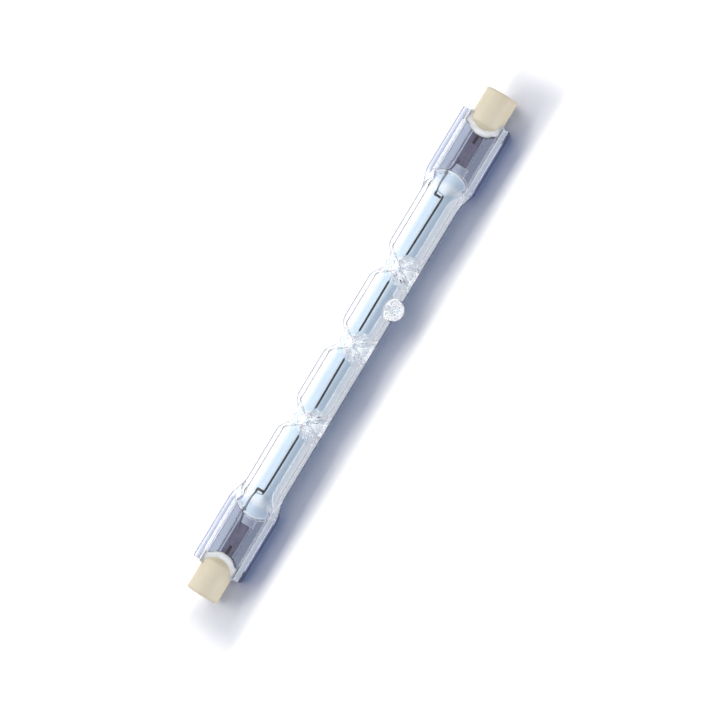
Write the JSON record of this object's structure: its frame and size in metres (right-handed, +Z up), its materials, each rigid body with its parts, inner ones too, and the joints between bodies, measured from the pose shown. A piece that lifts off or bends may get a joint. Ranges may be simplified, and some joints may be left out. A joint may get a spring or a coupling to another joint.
{
  "type": "linear halogen bulb",
  "caption": "Double-ended linear halogen lamp: dimpled quartz tube, coiled filament, flat press seals and ceramic caps with recessed contacts.",
  "frame": {"origin": "light centre: middle of the lamp on the tube's axis", "axes": "+X along the lamp, +Z up; the lamp lies rolled to its natural rest, on the bottom of its tube and the lower rails of its two seals, at z = -4.4 mm"},
  "size_m": [0.1176, 0.0128, 0.0088],
  "materials": {
    "quartz": "clear fused quartz, smooth, with a faint blue cast",
    "tungsten": "dark drawn tungsten wire, finely wound",
    "molybdenum": "dull purple-grey molybdenum",
    "ceramic": "cream steatite, matte to slightly satin",
    "cement": "white lamp cement, matte and slightly grainy",
    "contact": "nickel-plated contact, satin"
  },
  "bodies": {
    "root": {"quartz_envelope": "quartz", "filament": "tungsten", "cap_cement_left": "cement", "cap_cement_right": "cement", "ceramic_cap_left": "ceramic", "ceramic_cap_right": "ceramic", "contact_button_left": "contact", "contact_button_right": "contact", "molybdenum_foil_left": "molybdenum", "molybdenum_foil_right": "molybdenum", "inner_lead_left": "molybdenum", "inner_lead_right": "molybdenum", "outer_lead_left": "molybdenum", "outer_lead_right": "molybdenum"}
  },
  "joints": []
}
